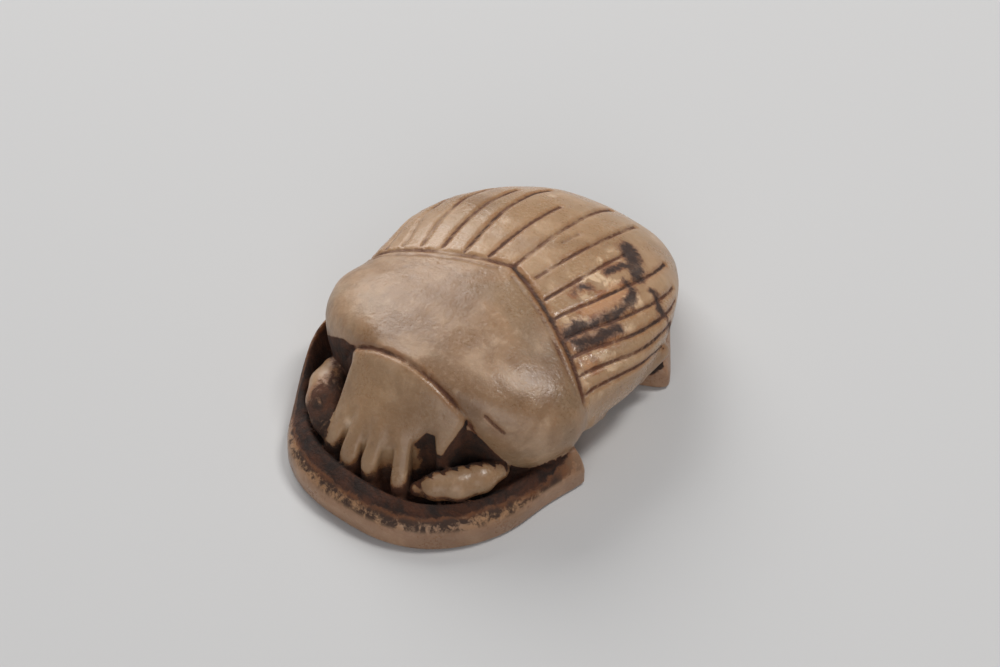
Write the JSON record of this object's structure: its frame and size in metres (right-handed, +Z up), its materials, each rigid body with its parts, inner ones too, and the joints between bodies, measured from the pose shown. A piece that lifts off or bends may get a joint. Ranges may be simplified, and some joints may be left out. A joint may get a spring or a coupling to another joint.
{
  "type": "scarab amulet",
  "caption": "Small carved stone beetle amulet with an oval flat base, toothed head in a recessed ledge, forelegs and grooved wing cases; lies on its base.",
  "frame": {"origin": "centre of the flat underside", "axes": "+Z up out of the beetle's back, -Y towards its head, +Y towards its tail, +X towards the beetle's own left"},
  "size_m": [0.012, 0.018, 0.0055],
  "materials": {
    "stone": "worn polish, pale grey-beige soft stone with brown deposit in the carving"
  },
  "bodies": {
    "root": {"scarab": "stone"}
  },
  "joints": []
}
